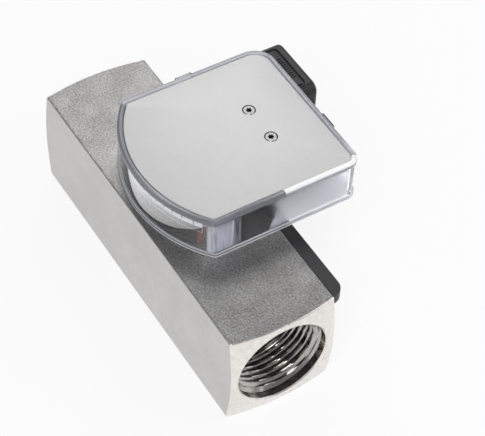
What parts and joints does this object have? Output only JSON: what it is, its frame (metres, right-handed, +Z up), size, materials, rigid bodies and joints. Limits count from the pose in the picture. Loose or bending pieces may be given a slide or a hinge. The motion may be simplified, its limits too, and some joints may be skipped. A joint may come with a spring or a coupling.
{
  "type": "variable area flow meter",
  "caption": "Inline magnetic-float flow meter: square steel body with threaded ports, clear dial housing with a swinging pointer, and a reed switch with a square plug.",
  "frame": {"origin": "centre of the inlet port in the plane of the body's inlet end face", "axes": "+X along the flow from inlet to outlet, +Y towards the dial's curved window, +Z up, out of the body's top through the dial"},
  "size_m": [0.132, 0.0888, 0.0564],
  "materials": {
    "body_steel": "satin, ground flats and turned ends",
    "insert_steel": "turned",
    "spring_steel": "drawn wire",
    "magnet": "dark sintered",
    "clear_plastic": "clear, glossy",
    "plate_steel": "fine satin",
    "screw_steel": "plain",
    "pale_plastic": "fine moulded",
    "scale_film": "printed film",
    "pointer_black": "moulded",
    "pointer_red": "painted",
    "brass": "turned",
    "black_plastic": "fine moulded grain",
    "insert_plastic": "moulded",
    "rubber": "soft",
    "board": "solder resist",
    "reed_glass": "clear",
    "contact_metal": "tinned"
  },
  "bodies": {
    "housing": {"meter_body": "body_steel", "inlet_guide": "insert_steel", "measuring_sleeve": "insert_steel", "outlet_guide": "insert_steel", "guide_rod": "insert_steel", "rod_nuts": "insert_steel", "retaining_ring": "insert_steel", "return_spring": "spring_steel", "display_hood": "clear_plastic", "cover_plate": "plate_steel", "cover_screws": "screw_steel", "display_base": "pale_plastic", "scale_strip": "scale_film", "pivot_axle": "screw_steel", "pivot_washers": "screw_steel", "switch_carrier": "black_plastic", "carrier_screws": "screw_steel", "switch_board": "board", "board_screws": "screw_steel", "reed_switch": "reed_glass", "switch_cover": "black_plastic", "switch_cover_screws": "screw_steel", "contact_blades": "contact_metal", "plug_gasket": "rubber", "cable_plug": "black_plastic", "plug_insert": "insert_plastic", "plug_screw": "screw_steel", "gland_seal": "rubber", "gland_washer": "screw_steel", "gland_nut": "black_plastic"},
    "float": {"float_body": "insert_steel", "float_magnet": "magnet", "float_cap": "insert_steel"},
    "pointer": {"pointer_hub": "pointer_black", "pivot_bushes": "brass", "pointer_arm": "pointer_black", "pointer_flag": "pointer_red", "follower_magnet": "magnet"}
  },
  "joints": [
    {"name": "float_slide", "type": "slide", "parent": "housing", "child": "float", "axis": [1, 0, 0], "range_m": [0, 0.03407], "stiffness_N_per_m": 60, "springref_m": -0.012, "deforming": ["return_spring"]},
    {"name": "pointer_swing", "type": "hinge", "parent": "housing", "child": "pointer", "pos_m": [0.0686, -0.0297, 0.0245], "axis": [0, 0, -1], "range_deg": [0, 70]}
  ],
  "couplings": [
    {"joint": "pointer_swing", "follows": "float_slide", "rad_per_m": 35.85}
  ]
}
